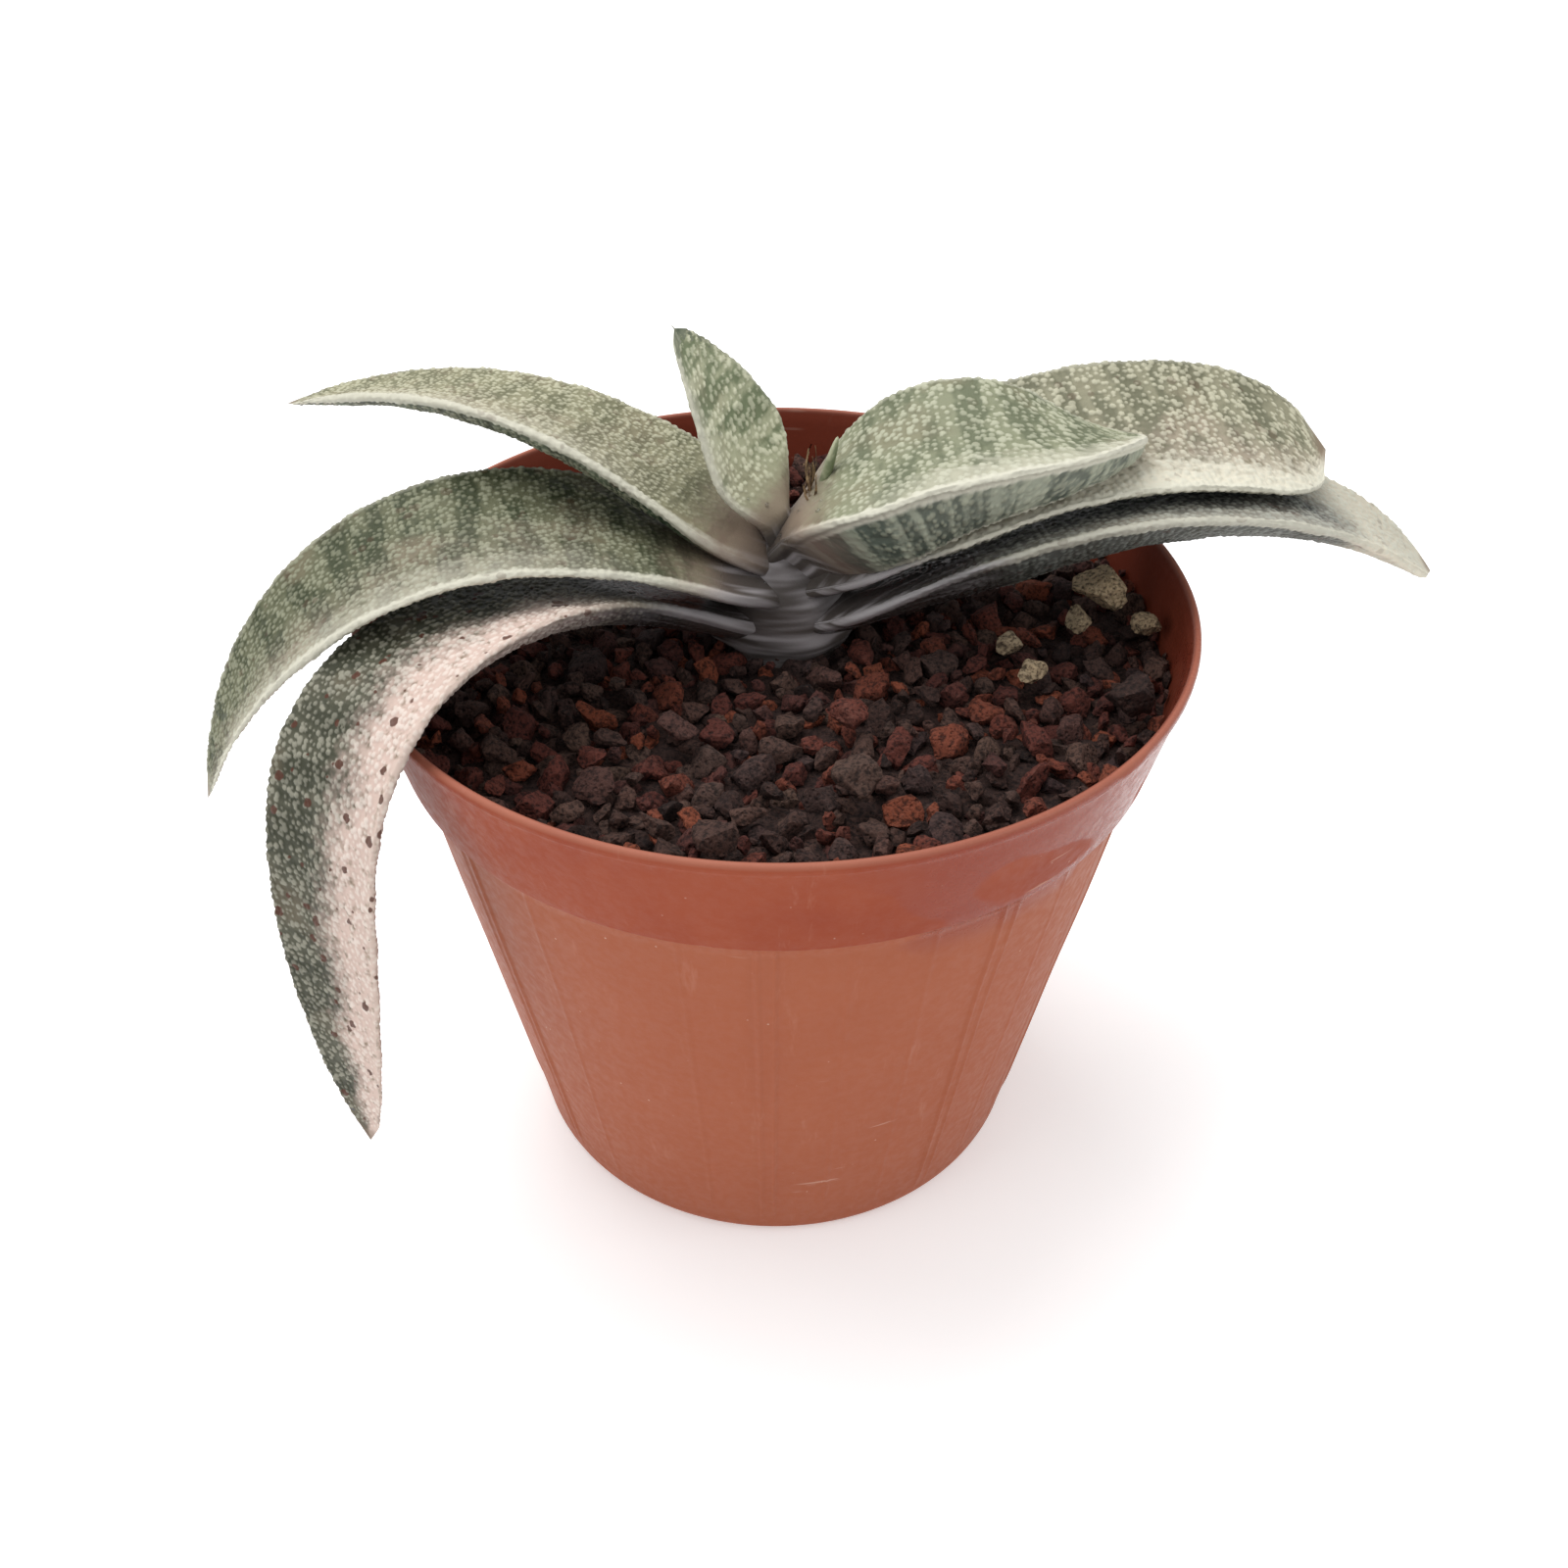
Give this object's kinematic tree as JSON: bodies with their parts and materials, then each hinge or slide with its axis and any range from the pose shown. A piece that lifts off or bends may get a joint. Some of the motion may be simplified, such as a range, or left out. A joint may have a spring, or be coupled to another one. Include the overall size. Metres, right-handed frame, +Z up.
{
  "type": "potted gasteria plant",
  "caption": "Gasteria succulent with two opposite rows of warty, white-edged keeled leaves in a round tapered nursery pot with a deep collar, top-dressed with lava grit.",
  "frame": {"origin": "middle of the pot's flat underside, on the floor that the pot stands on", "axes": "+Z up along the pot's axis; +X to the right along the two rows of leaves, as seen from the front; +Y away from the front"},
  "size_m": [0.1836, 0.12, 0.1332],
  "materials": {
    "pot_plastic": "satin",
    "potting_mix": "matte",
    "lava": "matte",
    "pumice": "matte",
    "stem_tissue": "matte",
    "root_tissue": "matte",
    "leaf_skin": "satin",
    "dry_sheath": "matte"
  },
  "bodies": {
    "root": {"pot": "pot_plastic", "stem": "stem_tissue", "root_1": "root_tissue", "root_2": "root_tissue", "root_3": "root_tissue", "root_4": "root_tissue", "leaf_left_3": "leaf_skin", "leaf_left_2": "leaf_skin", "leaf_left_1": "leaf_skin", "leaf_centre": "leaf_skin", "leaf_right_1": "leaf_skin", "leaf_right_2": "leaf_skin", "leaf_right_3": "leaf_skin", "leaf_bud": "leaf_skin", "dried_sheath": "dry_sheath", "potting_mix": "potting_mix", "lava_grit": "lava", "pumice_stone_1": "pumice", "pumice_stone_2": "pumice", "pumice_stone_3": "pumice", "pumice_stone_4": "pumice", "pumice_stone_5": "pumice", "lava_stone_1": "lava", "lava_stone_2": "lava", "lava_stone_3": "lava", "lava_stone_4": "lava", "lava_stone_5": "lava", "lava_stone_6": "lava", "lava_stone_7": "lava"}
  },
  "joints": []
}
